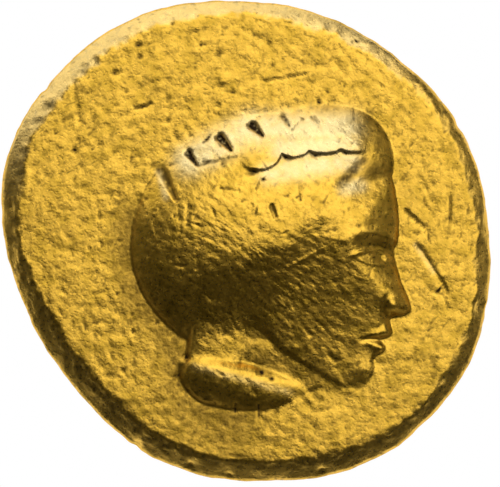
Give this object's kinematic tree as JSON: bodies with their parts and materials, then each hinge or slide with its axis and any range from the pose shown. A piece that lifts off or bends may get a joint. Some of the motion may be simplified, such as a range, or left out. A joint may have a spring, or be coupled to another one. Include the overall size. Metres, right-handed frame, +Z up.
{
  "type": "stater coin",
  "caption": "Struck gold coin: a thick uneven flan with a bowed head in high relief on its upper face and a worn quartered square punch on its underside.",
  "frame": {"origin": "middle of the coin's outline, on the surface that its underside lies on", "axes": "+X is the way the head faces, +Y runs up towards the crown of the head, +Z points up out of the face with the head"},
  "size_m": [0.0174, 0.0172, 0.0032],
  "materials": {
    "gold": "worn struck gold, satin with dark deposit in the recesses"
  },
  "bodies": {
    "root": {"coin": "gold"}
  },
  "joints": []
}
